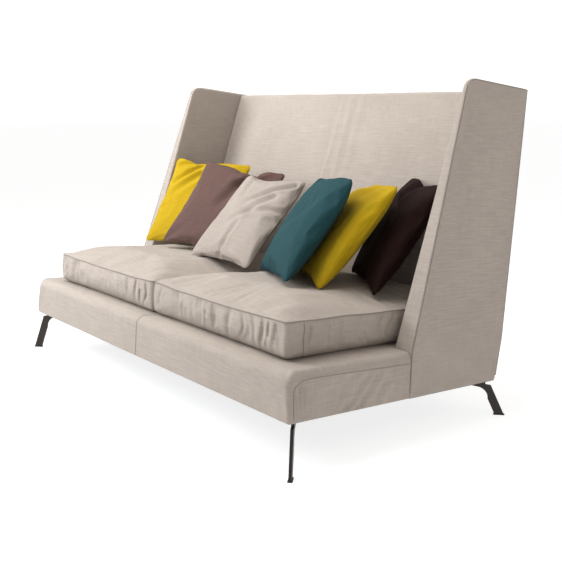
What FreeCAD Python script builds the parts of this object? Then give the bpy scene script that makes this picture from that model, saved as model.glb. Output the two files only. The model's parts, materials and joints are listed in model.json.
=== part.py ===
import FreeCAD, Part
import math
import os

# A high-backed two-seater sofa with wings, two loose seat cushions and six scatter cushions.
# Millimetres. X runs across the sofa, Y from front to back, Z up. The upholstered body is
# drawn level, with Z = 0 on its underside, and is then tipped back and lifted onto its legs.

# Overall body
BODY_WIDTH = 1850.0
BASE_DEPTH = 928.0
BASE_HEIGHT = 156.0
BODY_TILT = 2.38
MEAN_LEG_HEIGHT = 144.6
BASE_EDGE_ROUND = 38.0
BASE_CORNER_ROUND = 30.0
BASE_FOOT_ROUND = 12.0

# Wings
WING_FOOT_THICKNESS = 80.0
WING_LEAN_IN = 63.8
WING_HEIGHT = 1044.0
WING_REAR_HEIGHT = 1019.0
WING_FRONT_AT_BASE = 36.0
WING_RAKE = 259.7
WING_CREST_ROUND = 40.0
WING_EDGE_ROUND = 6.0

# Backrest
REAR_LEAN = 140.0
BACK_HEIGHT = 1014.0
BACK_TOP_THICKNESS = 34.0
SEAT_SLOPE = 0.30
BACK_EDGE_ROUND = 9.0

# Coverings and paddings
COVER = 3.0
BASE_WADDING = 30.0
BACK_FOAM_TOP = 11.0
BACK_FOAM_FOOT = 42.0
CLEAR = 0.3
SEAM = 0.6

# Timber and boards
RAIL_THICKNESS = 40.0
RAIL_HEIGHT = 106.0
DUST_COVER = 1.0
PLY = 8.0
RIB_THICKNESS = 30.0
RIB_SPREAD = 0.83
BLOCK_HEIGHT = 60.0
BLOCK_LENGTH = 130.0
TOP_RAIL_HEIGHT = 60.0

# Seat suspension
STRAP_WIDTH = 60.0
STRAP_THICKNESS = 2.5
STRAPS_PER_BAY = 5
CROSS_STRAPS = 3

# Seat cushions
CUSHION_SIDE_GAP = 25.0
CUSHION_SETBACK = 64.0
CUSHION_THICKNESS = 164.0
CUSHION_EDGE = 116.0
CUSHION_CORNER = 34.0
CUSHION_DRAW_IN = 5.0
CUSHION_CROWN_REACH = 150.0
CUSHION_REAR_SHARE = 0.15

# Scatter cushions, the first as a share of half the room between the wings and the rest as
# shares of the cushion's own size
PILLOW_SHARE = 0.516
PILLOW_DRAW_IN_SHARE = 0.042
PILLOW_CORNER_SHARE = 0.035
PILLOW_FACE_INSET = 0.36
PILLOW_CROWN_POWER = 1.15
PILLOW_CROWN_STEPS = 6
PILLOW_WING_GAP = 3.0
PILLOW_SEAT_GAP = 0.8
SETTLING_STEPS = 4

# Legs
LEG_THICKNESS = 10.0
FRONT_LEG_SETBACK = 12.0
LEG_FOOT_WIDTH = 33.0
LEG_FOOT_REACH = 20.0
LEG_SHOULDER_INSET = 12.0
LEG_SHOULDER_DROP = 18.0
LEG_SHOULDER_WIDTH = 20.0
LEG_NECK = 6.0
LEG_GUSSET = 78.0
LEG_GUSSET_DROP = 14.0
LEG_BEND_WIDTH = 34.0
LEG_BEND_HEIGHT = 44.0
LEG_BEND_DROP = 10.0
LEG_BEND_BULGE = 10.0
PLATE_INSET = 10.0
PLATE_LENGTH = 54.0
PLATE_WIDTH = 32.0
PLATE_THICKNESS = 4.0
GLIDE_THICKNESS = 3.0
GLIDE_MARGIN = 3.0
GLIDE_ROUND = 3.0
SCREW_RADIUS = 2.5
SCREW_HEAD_RADIUS = 4.5
SCREW_HEAD = 2.5
SCREW_LENGTH = 32.0
SCREW_SPREAD_ALONG = 22.0
SCREW_CLEAR_OF_BLADE = 1.0
SCREW_FIT = 0.1

# Fasteners between the base and the backrest
BOLT_RADIUS = 4.0
BOLT_HEAD_RADIUS = 8.0
BOLT_HEAD = 5.0
BOLT_COUNT = 4
BOLT_LEVEL = 62.0
BOLT_HOLE_CLEARANCE = 0.5
NUT_FIT = 0.1

# Seam welts
WELT_WIDTH = 7.0
WELT_THICKNESS = 1.6

# Each scatter cushion: the one behind it, or None beside a wing; its thickness and how far it
# stands inward and forward of that one, or forward of the backrest, as shares of its size; and
# how far it is turned about the vertical, leans back and is tipped in its own plane
PILLOWS = {
    "yellow_left": {
        "behind": None, "thick": 0.18, "in": 0, "forward": 0.303, "turn": 20, "lean": 31, "tip": -1,
    },
    "mauve": {
        "behind": "yellow_left", "thick": 0.17, "in": 0.537, "forward": 0.046,
        "turn": 21, "lean": 38, "tip": -6,
    },
    "cream": {
        "behind": "mauve", "thick": 0.22, "in": 0.656, "forward": 0.161, "turn": -3, "lean": 41, "tip": 1,
    },
    "brown": {
        "behind": None, "thick": 0.26, "in": 0, "forward": 0.122, "turn": -31, "lean": 31, "tip": -1,
    },
    "yellow_right": {
        "behind": "brown", "thick": 0.27, "in": 0.292, "forward": 0.310,
        "turn": -29, "lean": 36, "tip": 0,
    },
    "teal": {
        "behind": "yellow_right", "thick": 0.26, "in": 0.202, "forward": 0.248,
        "turn": -27, "lean": 34, "tip": 4,
    },
}

# Derived places
HALF_WIDTH = BODY_WIDTH / 2
FRONT = -BASE_DEPTH / 2
REAR = BASE_DEPTH / 2
INNER_HALF = HALF_WIDTH - WING_FOOT_THICKNESS
BACK_FRONT_TOP = REAR + REAR_LEAN * BACK_HEIGHT / WING_REAR_HEIGHT - BACK_TOP_THICKNESS
SEAT_BACK = BACK_FRONT_TOP - SEAT_SLOPE * (BACK_HEIGHT - BASE_HEIGHT)
RAIL_LIFT = DUST_COVER
RAIL_TOP = RAIL_LIFT + RAIL_HEIGHT
FRONT_LEGS = FRONT + FRONT_LEG_SETBACK
PLATE_MIDDLE = -LEG_SHOULDER_INSET - LEG_SHOULDER_WIDTH - PLATE_INSET - PLATE_LENGTH / 2
PLATFORM_TOP = BASE_HEIGHT - COVER
SEAT_LEVEL = BASE_HEIGHT + CLEAR
CUSHION_FRONT = FRONT + CUSHION_SETBACK
CUSHION_WIDTH = INNER_HALF - CUSHION_SIDE_GAP - SEAM
PILLOW_SIZE = INNER_HALF * PILLOW_SHARE
CUSHION_DEPTH = SEAT_BACK - CLEAR - CUSHION_FRONT
TOP = 3000.0


def box(x0, x1, y0, y1, z0, z1):
    """A block between two corners."""
    return Part.makeBox(x1 - x0, y1 - y0, z1 - z0, FreeCAD.Vector(x0, y0, z0))


def prism(outline, x0, x1):
    """A Y, Z outline drawn out along X."""
    points = [FreeCAD.Vector(x0, y, z) for y, z in outline]
    face = Part.Face(Part.makePolygon(points + points[:1]))
    return face.extrude(FreeCAD.Vector(x1 - x0, 0, 0))


def mirrored(shape):
    """The same piece on the other side of the sofa."""
    return shape.mirror(FreeCAD.Vector(0, 0, 0), FreeCAD.Vector(1, 0, 0))


def rear_y(z, inside=0.0):
    """The sloping rear face, or a plane that far inside it."""
    return REAR + REAR_LEAN * z / WING_REAR_HEIGHT - inside


def back_front_y(z, inside=0.0):
    """The sloping front face of the backrest, which runs straight down below the seat."""
    return SEAT_BACK + SEAT_SLOPE * max(z - BASE_HEIGHT, 0.0) + inside


def wing_front_y(z, inside=0.0):
    """The raked front edge of a wing, which runs straight down below the seat."""
    share = max(z - BASE_HEIGHT, 0.0) / (WING_HEIGHT - BASE_HEIGHT)
    return WING_FRONT_AT_BASE + WING_RAKE * share + inside


def back_foam_y(z):
    """The rear face of the backrest foam, which thins towards the top."""
    share = max(z - BASE_HEIGHT, 0.0) / (BACK_HEIGHT - BASE_HEIGHT)
    foam = BACK_FOAM_FOOT + (BACK_FOAM_TOP - BACK_FOAM_FOOT) * share
    return back_front_y(z, COVER + CLEAR + foam)


def lean_plane_cut(shape, inside=0.0):
    """Take away what lies outside the right wing's outer face, upright beside the base."""
    slope = WING_LEAN_IN / (WING_HEIGHT - BASE_HEIGHT)
    foot = HALF_WIDTH - inside
    head = foot - slope * (TOP - BASE_HEIGHT)
    wedge = [(foot, -TOP), (foot, BASE_HEIGHT), (head, TOP), (foot + TOP, TOP), (foot + TOP, -TOP)]
    points = [FreeCAD.Vector(x, -TOP, z) for x, z in wedge]
    face = Part.Face(Part.makePolygon(points + points[:1]))
    return shape.cut(face.extrude(FreeCAD.Vector(0, 2 * TOP, 0)))


def round_edges(shape, radius, wanted):
    """Fillet the straight edges that the test picks by their two ends."""
    picked = []
    for edge in shape.Edges:
        if len(edge.Vertexes) == 2 and wanted(edge.Vertexes[0].Point, edge.Vertexes[1].Point):
            picked.append(edge)
    return shape.makeFillet(radius, picked)


def base_block():
    """The base's outer form: full width in front of the wings, narrower between them."""
    front = box(-HALF_WIDTH, HALF_WIDTH, FRONT, WING_FRONT_AT_BASE - SEAM, 0, BASE_HEIGHT)
    front = round_edges(
        front, BASE_CORNER_ROUND, lambda a, b: abs(a.z - b.z) > 1 and a.y < FRONT + 1
    )
    front = round_edges(
        front, BASE_EDGE_ROUND, lambda a, b: min(a.z, b.z) > BASE_HEIGHT - 1 and
        min(a.y, b.y) < WING_FRONT_AT_BASE - SEAM - 1
    )
    front = round_edges(
        front, BASE_FOOT_ROUND, lambda a, b: max(a.z, b.z) < 1 and
        min(a.y, b.y) < WING_FRONT_AT_BASE - SEAM - 1
    )
    half = INNER_HALF - SEAM
    rear = box(-half, half, FRONT + BASE_DEPTH / 4, SEAT_BACK - SEAM, 0, BASE_HEIGHT)
    return front.fuse(rear).removeSplitter()


def bolt_places():
    """Where the bolts between the base and the backrest lie across the sofa."""
    pitch = 2 * INNER_HALF / BOLT_COUNT
    return [pitch * (n + 0.5) - INNER_HALF for n in range(BOLT_COUNT)]


def bolt_holes(y0, y1):
    """The bolts' clearance holes between two places along Y."""
    radius = BOLT_RADIUS + BOLT_HOLE_CLEARANCE
    holes = []
    for x in bolt_places():
        start = FreeCAD.Vector(x, y0, BOLT_LEVEL)
        holes.append(Part.makeCylinder(radius, y1 - y0, start, FreeCAD.Vector(0, 1, 0)))
    return holes[0].fuse(holes[1:])


def base_pieces():
    """The cover, rails, suspension and underside of the base."""
    wall = BASE_WADDING
    rear_inside = SEAT_BACK - SEAM - COVER
    side = INNER_HALF - SEAM - COVER - CLEAR
    wide = HALF_WIDTH - wall
    front_in = FRONT + wall
    hollow = box(-wide, wide, front_in, WING_FRONT_AT_BASE - SEAM - COVER, -1, PLATFORM_TOP)
    hollow = hollow.fuse(box(-side - CLEAR, side + CLEAR, front_in, rear_inside, -1, PLATFORM_TOP))
    cover = base_block().cut(hollow).cut(bolt_holes(rear_inside - 1, SEAT_BACK))
    low, high = RAIL_LIFT, RAIL_TOP
    t = RAIL_THICKNESS
    front_y = front_in + CLEAR
    rear_y0 = rear_inside - CLEAR - t
    bays = [-side, side - t]
    pieces = {"base_cover": cover}
    front_rail = box(-wide + CLEAR, wide - CLEAR, front_y, front_y + t, low, high)
    holes = screw_holes(FRONT_LEGS)
    holes = holes.fuse(mirrored(holes))
    pieces["base_front_rail"] = front_rail.cut(holes)
    rear_rail = box(-side, side, rear_y0, rear_y0 + t, low, high)
    pieces["base_rear_rail"] = rear_rail.cut(bolt_holes(rear_y0 - 1, SEAT_BACK))
    for name, x in (("left", bays[0]), ("right", bays[1])):
        pieces["base_side_rail_" + name] = box(x, x + t, front_y + t, rear_y0, low, high)
    pieces["base_centre_rail"] = box(-t / 2, t / 2, front_y + t, rear_y0, low, high)
    corner = box(side, wide - CLEAR, front_y + t, WING_FRONT_AT_BASE - SEAM - COVER - CLEAR, low, high)
    corner = corner.cut(holes)
    pieces["front_corner_block_right"] = corner
    pieces["front_corner_block_left"] = mirrored(corner)
    pieces["seat_webbing"] = webbing(side, front_y, rear_y0 + t)
    foam_low = RAIL_TOP + 2 * STRAP_THICKNESS
    pad = box(-side, side, front_y, rear_y0 + t, foam_low, PLATFORM_TOP - CLEAR)
    pieces["seat_platform_foam"] = pad
    sheet = box(-wide + CLEAR, wide - CLEAR, front_y, WING_FRONT_AT_BASE - SEAM - COVER - CLEAR,
                low - DUST_COVER, low)
    narrow = box(-side, side, front_y, rear_y0 + t, low - DUST_COVER, low)
    pieces["dust_cover"] = sheet.fuse(narrow).removeSplitter().cut(holes)
    return pieces


def webbing(side, y0, y1):
    """Straps from front to back on the rails, and cross straps laid over them."""
    bay = side - RAIL_THICKNESS / 2
    straps = []
    for middle in (-side + bay / 2, side - bay / 2):
        for n in range(STRAPS_PER_BAY):
            x = middle + bay * ((n + 0.5) / STRAPS_PER_BAY - 0.5)
            half = STRAP_WIDTH / 2
            straps.append(box(x - half, x + half, y0, y1, RAIL_TOP, RAIL_TOP + STRAP_THICKNESS))
    low = RAIL_TOP + STRAP_THICKNESS
    for n in range(CROSS_STRAPS):
        y = y0 + (y1 - y0) * (n + 1) / (CROSS_STRAPS + 1)
        half = STRAP_WIDTH / 2
        straps.append(box(-side, side, y - half, y + half, low, low + STRAP_THICKNESS))
    return Part.makeCompound(straps)


def wing_outline(inside=0.0):
    """A wing's side outline in Y, Z, drawn in by inside at the front, top and rear."""
    top_front = WING_HEIGHT - inside
    top_rear = WING_REAR_HEIGHT - inside
    return [
        (wing_front_y(0, inside), 0),
        (wing_front_y(BASE_HEIGHT, inside), BASE_HEIGHT),
        (wing_front_y(top_front, inside), top_front),
        (rear_y(top_rear, inside), top_rear),
        (rear_y(0, inside), 0),
    ]


def wing_slab(inside, x0, x1):
    """A wing's outline drawn out along X, with a round crest at the front of its top."""
    crest = WING_HEIGHT - inside
    return round_edges(
        prism(wing_outline(inside), x0, x1), WING_CREST_ROUND - inside,
        lambda a, b: abs(a.x - b.x) > 1 and min(a.z, b.z) > crest - 1 and
        max(a.y, b.y) < wing_front_y(crest, inside) + 1
    )


def wing_block(inside, x0):
    """The right wing's form, drawn in by inside, from x0 out to the leaning face."""
    return lean_plane_cut(wing_slab(inside, x0, HALF_WIDTH + 1), inside)


def wing_pieces():
    """The right wing's cover, board, padding, rear block and seam welt."""
    outer = wing_block(0, INNER_HALF)
    outer = round_edges(
        outer, WING_EDGE_ROUND, lambda a, b: min(a.x, b.x) > INNER_HALF + 1 and
        max(a.z, b.z) > BASE_HEIGHT + 1 and abs(a.y - b.y) + abs(a.z - b.z) > 1
    )
    cover = outer.cut(wing_block(COVER, INNER_HALF + COVER))
    x0 = INNER_HALF + COVER + CLEAR
    board = wing_slab(COVER + CLEAR, x0, x0 + PLY)
    board = lean_plane_cut(board, COVER + CLEAR).cut(box(0, HALF_WIDTH, FRONT, TOP, -1, RAIL_LIFT))
    x1 = x0 + PLY + CLEAR
    block_rear = rear_y(RAIL_LIFT, COVER + CLEAR)
    block = box(x1, HALF_WIDTH, block_rear - BLOCK_LENGTH, block_rear, RAIL_LIFT, RAIL_LIFT + BLOCK_HEIGHT)
    block = lean_plane_cut(block, COVER + CLEAR).cut(screw_holes(REAR))
    pad = lean_plane_cut(wing_slab(COVER + CLEAR, x1, HALF_WIDTH), COVER + CLEAR)
    pad = pad.cut(box(0, HALF_WIDTH, FRONT, TOP, -1, RAIL_LIFT))
    room = box(x1 - 1, HALF_WIDTH, block_rear - BLOCK_LENGTH - CLEAR, TOP,
               -1, RAIL_LIFT + BLOCK_HEIGHT + CLEAR)
    pad = pad.cut(room)
    ring = wing_slab(WING_EDGE_ROUND, INNER_HALF, HALF_WIDTH + WELT_THICKNESS + 1)
    ring = ring.cut(wing_slab(WING_EDGE_ROUND + WELT_WIDTH, INNER_HALF - 1, TOP))
    ring = ring.cut(box(0, TOP, FRONT, TOP, -1, BASE_FOOT_ROUND))
    welt = lean_plane_cut(ring, -WELT_THICKNESS - CLEAR)
    welt = welt.cut(lean_plane_cut(box(0, TOP, FRONT, TOP, -1, TOP), -CLEAR))
    lining = box(x0, HALF_WIDTH - COVER - CLEAR, wing_front_y(0, COVER + CLEAR),
                 rear_y(0, COVER + CLEAR), 0, DUST_COVER)
    lining = lining.cut(screw_holes(REAR))
    return {
        "cover": cover,
        "board": board,
        "rear_block": block,
        "padding": pad,
        "underlining": lining,
        "welt": welt,
    }


def band(front, rear, z0, z1):
    """An outline between two sloping planes from one level to another."""
    levels = [z0]
    if z0 < BASE_HEIGHT < z1:
        levels.append(BASE_HEIGHT)
    levels.append(z1)
    up = [(front(z), z) for z in levels]
    down = [(rear(z), z) for z in reversed(levels)]
    return up + down


def back_pieces():
    """The backrest's cover, foam, board, ribs and rails."""
    half = INNER_HALF - SEAM
    outer = prism(band(back_front_y, rear_y, 0, BACK_HEIGHT), -half, half)
    outer = round_edges(
        outer, BACK_EDGE_ROUND, lambda a, b: min(a.z, b.z) > BACK_HEIGHT - 1 and abs(a.x - b.x) > 1
    )
    inner_half = half - COVER
    hollow = prism(
        band(lambda z: back_front_y(z, COVER), lambda z: rear_y(z, COVER), -1, BACK_HEIGHT - COVER),
        -inner_half, inner_half,
    )
    cover = outer.cut(hollow).cut(bolt_holes(SEAT_BACK - 1, SEAT_BACK + 2 * COVER))
    side = inner_half - CLEAR
    top = BACK_HEIGHT - COVER - CLEAR

    def foam_front(z):
        return back_front_y(z, COVER + CLEAR)

    def board_rear(z):
        return rear_y(z, COVER + CLEAR)

    def board_front(z):
        return rear_y(z, COVER + CLEAR + PLY)

    def timber_front(z):
        return back_foam_y(z) + CLEAR

    def timber_rear(z):
        return board_front(z) - CLEAR

    foam = prism(band(foam_front, back_foam_y, BASE_HEIGHT, top), -side, side)
    board = prism(band(board_front, board_rear, RAIL_LIFT, top), -side, side)
    rib_top = top - TOP_RAIL_HEIGHT
    top_rail = prism(band(timber_front, timber_rear, rib_top, top), -side, side)
    low_front = SEAT_BACK + COVER + CLEAR
    low_rear = low_front + BACK_FOAM_FOOT
    low_rail = box(-side, side, low_front, low_rear, RAIL_LIFT, RAIL_TOP)
    low_rail = low_rail.cut(bolt_holes(low_front - 1, low_rear + 1))
    lining_front = SEAT_BACK + COVER + CLEAR
    lining = box(-side, side, lining_front, rear_y(0, COVER + CLEAR), 0, DUST_COVER)
    pieces = {
        "back_underlining": lining,
        "back_cover": cover,
        "back_foam": foam,
        "back_board": board,
        "back_top_rail": top_rail,
        "back_bottom_rail": low_rail,
    }
    rib = band(timber_front, timber_rear, RAIL_LIFT, rib_top)
    for name, place in (("left", -RIB_SPREAD), ("centre", 0.0), ("right", RIB_SPREAD)):
        x = place * INNER_HALF
        pieces["back_rib_" + name] = prism(rib, x - RIB_THICKNESS / 2, x + RIB_THICKNESS / 2)
    return pieces


def joint_bolts():
    """The bolts that hold the backrest to the base."""
    start = SEAT_BACK - SEAM - COVER - CLEAR - RAIL_THICKNESS - BOLT_HEAD
    end = SEAT_BACK + COVER + CLEAR + BACK_FOAM_FOOT
    along = FreeCAD.Vector(0, 1, 0)
    bolts = []
    for x in bolt_places():
        place = FreeCAD.Vector(x, start, BOLT_LEVEL)
        head = Part.makeCylinder(BOLT_HEAD_RADIUS, BOLT_HEAD, place, along)
        shank = Part.makeCylinder(BOLT_RADIUS, end + BOLT_HEAD - start, place, along)
        bolts.append(head.fuse(shank).removeSplitter())
        rear = FreeCAD.Vector(x, end, BOLT_LEVEL)
        nut = Part.makeCylinder(BOLT_HEAD_RADIUS, BOLT_HEAD, rear, along)
        bolts.append(nut.cut(Part.makeCylinder(BOLT_RADIUS + NUT_FIT, BOLT_HEAD, rear, along)))
    return Part.makeCompound(bolts)


def soft_outline(half_x, half_y, corner, draw_in, z):
    """A rectangle whose corners are rounded and whose sides pull in between them."""
    cut = corner * (1 - math.sqrt(0.5))
    wire = []
    ends = [
        ((half_x, -half_y + corner), (half_x - draw_in, 0), (half_x, half_y - corner)),
        ((half_x - corner, half_y), (0, half_y - draw_in), (-half_x + corner, half_y)),
        ((-half_x, half_y - corner), (-half_x + draw_in, 0), (-half_x, -half_y + corner)),
        ((-half_x + corner, -half_y), (0, -half_y + draw_in), (half_x - corner, -half_y)),
    ]
    bends = [(half_x - cut, half_y - cut), (-half_x + cut, half_y - cut),
             (-half_x + cut, -half_y + cut), (half_x - cut, -half_y + cut)]

    def point(place):
        return FreeCAD.Vector(place[0], place[1], z)

    for n, (start, middle, end) in enumerate(ends):
        wire.append(Part.Arc(point(start), point(middle), point(end)).toShape())
        following = ends[(n + 1) % 4][0]
        wire.append(Part.Arc(point(end), point(bends[n]), point(following)).toShape())
    return Part.Wire(wire)


def crown_profile():
    """The seat cushion's rise: height over its underside against distance from its edge."""
    rise = CUSHION_THICKNESS - CUSHION_EDGE
    steps = [0.0, 0.15, 0.35, 0.6, 0.8, 1.0]
    return [
        (CUSHION_CROWN_REACH * s, CUSHION_EDGE + rise * math.sin(s * math.pi / 2)) for s in steps
    ]


def seat_cushion(middle):
    """One loose seat cushion: boxed sides drawn in between their corners, and a crown."""
    half_x = CUSHION_WIDTH / 2
    half_y = CUSHION_DEPTH / 2
    under = CUSHION_CORNER / 4
    sections = [
        (under, 0.0, CUSHION_DRAW_IN / 2),
        (0.0, under, CUSHION_DRAW_IN / 2),
        (0.0, CUSHION_EDGE / 2, CUSHION_DRAW_IN),
    ]
    sections += [(inset, height, CUSHION_DRAW_IN / 2) for inset, height in crown_profile()]
    wires = []
    for inset, height, draw_in in sections:
        rear_inset = inset * CUSHION_REAR_SHARE
        depth = half_y - (inset + rear_inset) / 2
        corner = CUSHION_CORNER + inset / 3
        wire = soft_outline(half_x - inset, depth, corner, draw_in, height)
        wire.translate(FreeCAD.Vector(0, (inset - rear_inset) / 2, 0))
        wires.append(wire)
    cushion = Part.makeLoft(wires, True, True)
    cushion.translate(FreeCAD.Vector(middle, CUSHION_FRONT + half_y, SEAT_LEVEL))
    return cushion


def cushion_middles():
    """Where the two seat cushions' middles lie across the sofa."""
    offset = CUSHION_WIDTH / 2 + SEAM
    return (-offset, offset)


def pillow(thickness):
    """A scatter cushion lying flat: a crown on both sides, sides drawn in between corners."""
    half = PILLOW_SIZE / 2
    shares = [n / PILLOW_CROWN_STEPS for n in range(-PILLOW_CROWN_STEPS, PILLOW_CROWN_STEPS + 1)]
    wires = []
    for share in shares:
        height = thickness / 2 * math.sin(share * math.pi / 2)
        inset = PILLOW_SIZE * PILLOW_FACE_INSET * abs(share) ** PILLOW_CROWN_POWER
        draw_in = PILLOW_SIZE * PILLOW_DRAW_IN_SHARE * (1 - abs(share) / 2)
        corner = PILLOW_SIZE * PILLOW_CORNER_SHARE + inset / 5
        wires.append(soft_outline(half - inset, half - inset, corner, draw_in, height))
    return Part.makeLoft(wires, True, True)


def settled(shape, seat):
    """The cushion lowered until it rests on the seat with a hair of clearance."""
    lift = seat.BoundBox.ZMax + PILLOW_SEAT_GAP - shape.BoundBox.ZMin
    shape.translate(FreeCAD.Vector(0, 0, lift))
    for step in range(SETTLING_STEPS):
        shape.translate(FreeCAD.Vector(0, 0, PILLOW_SEAT_GAP - shape.distToShape(seat)[0]))
    return shape


def scatter_cushions(seat):
    """The six scatter cushions, turned and leaned back as they are propped on the seat."""
    pieces = {}
    places = {}
    for name, pose in PILLOWS.items():
        turn = FreeCAD.Rotation(FreeCAD.Vector(0, 0, 1), pose["turn"])
        lean = FreeCAD.Rotation(FreeCAD.Vector(1, 0, 0), 90 - pose["lean"])
        tip = FreeCAD.Rotation(FreeCAD.Vector(0, 0, 1), pose["tip"])
        shape = pillow(PILLOW_SIZE * pose["thick"])
        shape.Placement = FreeCAD.Placement(FreeCAD.Vector(0, 0, 0), turn.multiply(lean).multiply(tip))
        if pose["behind"] is None:
            side = math.copysign(1, -pose["turn"])
            across = INNER_HALF - PILLOW_WING_GAP - shape.optimalBoundingBox().XLength / 2
            back = SEAT_BACK
        else:
            side, across, back = places[pose["behind"]]
        across -= pose["in"] * PILLOW_SIZE
        back -= pose["forward"] * PILLOW_SIZE
        places[name] = (side, across, back)
        shape.translate(FreeCAD.Vector(side * across, back, 0))
        pieces["scatter_cushion_" + name] = settled(shape, seat)
    return pieces


def tipped(shape):
    """A piece of the body, tipped back and lifted to its height over the floor."""
    rotation = FreeCAD.Rotation(FreeCAD.Vector(1, 0, 0), -BODY_TILT)
    moved = shape.copy()
    moved.Placement = FreeCAD.Placement(FreeCAD.Vector(0, 0, MEAN_LEG_HEIGHT), rotation).multiply(
        shape.Placement
    )
    return moved


def corner_height(y):
    """The height of the body's underside over the floor at a place along the level body."""
    return MEAN_LEG_HEIGHT - y * math.sin(math.radians(BODY_TILT))


def corner_reach(y):
    """Where that place comes to lie along Y once the body is tipped."""
    return y * math.cos(math.radians(BODY_TILT))


def leg_blade(height):
    """A leg's flat blade in X, Z: X runs outward along the corner's diagonal from the corner."""
    top = height + LEG_GUSSET
    outer_foot = LEG_FOOT_REACH + LEG_FOOT_WIDTH / 2
    inner_foot = LEG_FOOT_REACH - LEG_FOOT_WIDTH / 2
    shoulder = -LEG_SHOULDER_INSET
    neck = shoulder - LEG_SHOULDER_WIDTH
    gusset = neck - LEG_GUSSET
    shoulder_z = height - LEG_SHOULDER_DROP
    slope = (outer_foot - shoulder) / (shoulder_z - GLIDE_THICKNESS)
    gusset_z = height - LEG_GUSSET_DROP
    arc_z = gusset_z - LEG_BEND_DROP
    bend_z = arc_z - LEG_BEND_HEIGHT
    bend_x = inner_foot - slope * (bend_z - GLIDE_THICKNESS)
    arc_x = bend_x - LEG_BEND_WIDTH
    bulge = LEG_BEND_BULGE / math.hypot(LEG_BEND_WIDTH, LEG_BEND_HEIGHT)
    middle_x = (bend_x + arc_x) / 2 + bulge * LEG_BEND_HEIGHT
    middle_z = (bend_z + arc_z) / 2 + bulge * LEG_BEND_WIDTH

    def point(x, z):
        return FreeCAD.Vector(x, -LEG_THICKNESS / 2, z)

    corners = [
        point(arc_x, arc_z),
        point(gusset, gusset_z),
        point(gusset, top),
        point(neck, top),
        point(neck, shoulder_z + LEG_NECK / 2),
        point(shoulder, shoulder_z),
        point(outer_foot, GLIDE_THICKNESS),
        point(inner_foot, GLIDE_THICKNESS),
        point(bend_x, bend_z),
    ]
    edges = [Part.LineSegment(a, b).toShape() for a, b in zip(corners, corners[1:])]
    edges.append(Part.Arc(corners[-1], point(middle_x, middle_z), corners[0]).toShape())
    return Part.Face(Part.Wire(edges)).extrude(FreeCAD.Vector(0, LEG_THICKNESS, 0))


def at_corner(shape, y):
    """A piece drawn along X, moved to the right corner at y and turned along its diagonal."""
    turn = 45 if y > 0 else -45
    place = FreeCAD.Vector(HALF_WIDTH, corner_reach(y), 0)
    shape.Placement = FreeCAD.Placement(place, FreeCAD.Rotation(FreeCAD.Vector(0, 0, 1), turn))
    return shape


def on_underside(shape, y):
    """A piece drawn along X, moved to the right corner of the level body and turned."""
    turn = 45 if y > 0 else -45
    place = FreeCAD.Vector(HALF_WIDTH, y, 0)
    shape.Placement = FreeCAD.Placement(place, FreeCAD.Rotation(FreeCAD.Vector(0, 0, 1), turn))
    return shape


def plate_bars(y, low, high, radius):
    """Four round bars where a leg's plate is screwed on, in the level body's frame."""
    bars = []
    for along in (-1, 1):
        for across in (-1, 1):
            x = PLATE_MIDDLE + along * SCREW_SPREAD_ALONG / 2
            offset = LEG_THICKNESS / 2 + SCREW_CLEAR_OF_BLADE + SCREW_HEAD_RADIUS
            place = FreeCAD.Vector(x, across * offset, low)
            bars.append(Part.makeCylinder(radius, high - low, place))
    return on_underside(Part.makeCompound(bars), y)


def screw_holes(y):
    """The pilot holes for one leg's screws, on the right."""
    return plate_bars(y, -1, SCREW_LENGTH, SCREW_RADIUS + SCREW_FIT)


def leg_pieces():
    """The four legs with their plates, the glides under them and the screws that hold them."""
    pieces = {}
    glides = []
    screws = []
    under = -PLATE_THICKNESS - CLEAR
    for end, y in (("front", FRONT_LEGS), ("rear", REAR)):
        blade = at_corner(leg_blade(corner_height(y)), y)
        blade = blade.cut(tipped(box(-TOP, TOP, -TOP, TOP, -CLEAR, TOP)))
        half = PLATE_WIDTH / 2
        start = PLATE_MIDDLE - PLATE_LENGTH / 2
        plate = on_underside(box(start, start + PLATE_LENGTH, -half, half, under, -CLEAR), y)
        leg = blade.fuse(tipped(plate)).removeSplitter()
        leg = leg.cut(tipped(plate_bars(y, under - 1, 0, SCREW_RADIUS + SCREW_FIT)))
        pieces["leg_" + end + "_right"] = leg
        pieces["leg_" + end + "_left"] = mirrored(leg)
        reach = LEG_FOOT_WIDTH / 2 + GLIDE_MARGIN
        half = LEG_THICKNESS / 2 + GLIDE_MARGIN
        glide = box(LEG_FOOT_REACH - reach, LEG_FOOT_REACH + reach, -half, half, 0, GLIDE_THICKNESS)
        glide = round_edges(glide, GLIDE_ROUND, lambda a, b: abs(a.z - b.z) > 1)
        glide = at_corner(glide, y)
        glides += [glide, mirrored(glide)]
        heads = plate_bars(y, under - SCREW_HEAD, under, SCREW_HEAD_RADIUS)
        shanks = plate_bars(y, under, SCREW_LENGTH - SCREW_HEAD, SCREW_RADIUS)
        for head, shank in zip(heads.Solids, shanks.Solids):
            screw = tipped(head.fuse(shank).removeSplitter())
            screws += [screw, mirrored(screw)]
    pieces["leg_glides"] = Part.makeCompound(glides)
    pieces["leg_screws"] = Part.makeCompound(screws)
    return pieces


def body_pieces():
    """Every piece of the body and what lies on it, drawn level."""
    pieces = base_pieces()
    for name, shape in wing_pieces().items():
        pieces["wing_" + name + "_right"] = shape
        pieces["wing_" + name + "_left"] = mirrored(shape)
    pieces.update(back_pieces())
    pieces["back_joint_bolts"] = joint_bolts()
    seat = [seat_cushion(middle) for middle in cushion_middles()]
    pieces["seat_cushion_left"] = seat[0]
    pieces["seat_cushion_right"] = seat[1]
    pieces.update(scatter_cushions(Part.makeCompound(seat)))
    return pieces


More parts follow.
